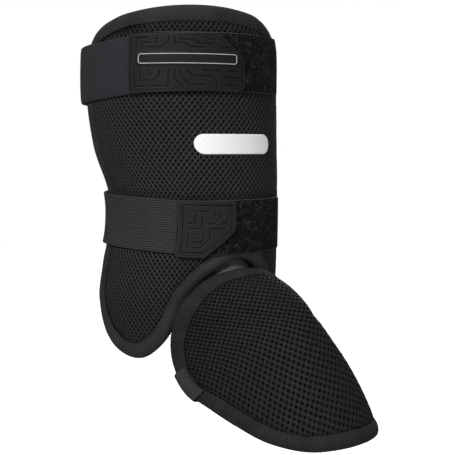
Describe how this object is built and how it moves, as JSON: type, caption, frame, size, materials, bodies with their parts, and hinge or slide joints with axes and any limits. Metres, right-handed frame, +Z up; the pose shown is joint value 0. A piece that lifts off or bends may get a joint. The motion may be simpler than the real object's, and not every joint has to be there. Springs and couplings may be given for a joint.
{
  "type": "batters leg guard",
  "caption": "Padded shin shell with an ankle lobe, a hooded foot guard hung below it on an elastic strip, and wrap straps closed on the front.",
  "frame": {"origin": "the middle of the shin pad's inner face on its front line, between the straps, where the shin presses", "axes": "+Z up the leg, -Y is the front that faces the pitcher's side, +X the outer side of the leg"},
  "size_m": [0.2002, 0.262, 0.3067],
  "materials": {
    "mesh_cloth": "open knitted mesh over foam, matt",
    "edge_tape": "ribbed knit edge tape, matt",
    "webbing": "close woven strap, matt",
    "elastic": "ribbed elastic, matt",
    "loop_pile": "fuzzy loop pile",
    "tab_face": "moulded soft plastic, satin",
    "lower_tab_face": "moulded soft plastic, satin",
    "white_film": "smooth printed film"
  },
  "bodies": {
    "root": {"shin_pad": "mesh_cloth", "shin_binding": "edge_tape", "foot_pad": "mesh_cloth", "foot_binding": "edge_tape", "upper_strap": "webbing", "lower_strap": "elastic", "upper_loop_pad": "loop_pile", "lower_loop_pad": "loop_pile", "upper_tab": "tab_face", "lower_tab": "lower_tab_face", "white_bar": "white_film", "instep_elastic": "elastic", "sole_keeper": "webbing", "sole_strap": "elastic"}
  },
  "joints": []
}
